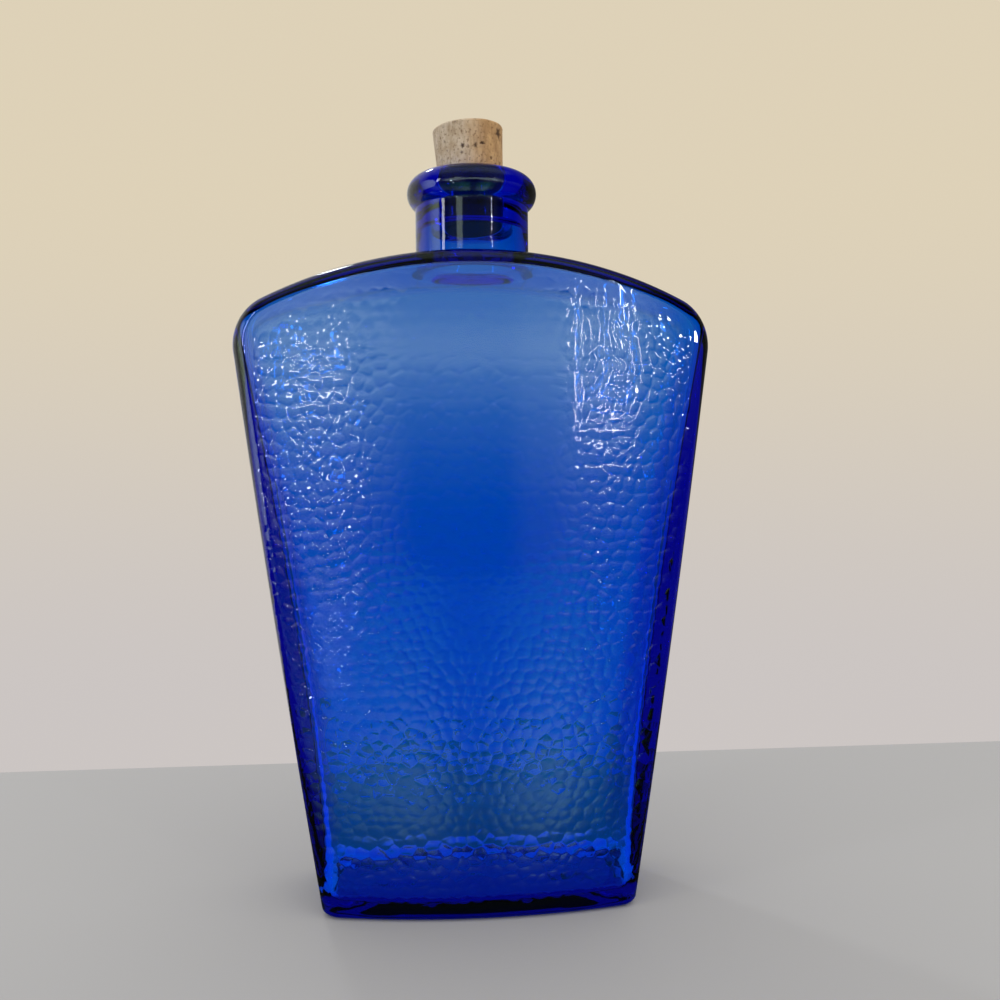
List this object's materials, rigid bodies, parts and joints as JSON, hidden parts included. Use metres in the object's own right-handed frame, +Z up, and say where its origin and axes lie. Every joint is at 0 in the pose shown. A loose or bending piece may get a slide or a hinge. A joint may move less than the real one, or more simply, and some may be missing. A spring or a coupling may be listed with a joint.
{
  "type": "decanter",
  "caption": "Flat flask-shaped glass decanter with arched shoulders, sides tapering to a narrower base, a short neck with a ring lip, and a tapered cork stopper.",
  "frame": {"origin": "middle of the resting rim, on the surface that the decanter stands on", "axes": "+Z up along the neck, +X across the broad front face, the front face looks along -Y"},
  "size_m": [0.1514, 0.057, 0.2499],
  "materials": {
    "cobalt_glass": "clear cobalt blue, hammered on the front and back faces",
    "natural_cork": "natural cork, dry, with pits"
  },
  "bodies": {
    "bottle": {"glass_bottle": "cobalt_glass"},
    "cork": {"cork_stopper": "natural_cork"}
  },
  "joints": [
    {"name": "cork_slide", "type": "slide", "parent": "bottle", "child": "cork", "axis": [0, 0, 1], "range_m": [0, 0.045]}
  ]
}
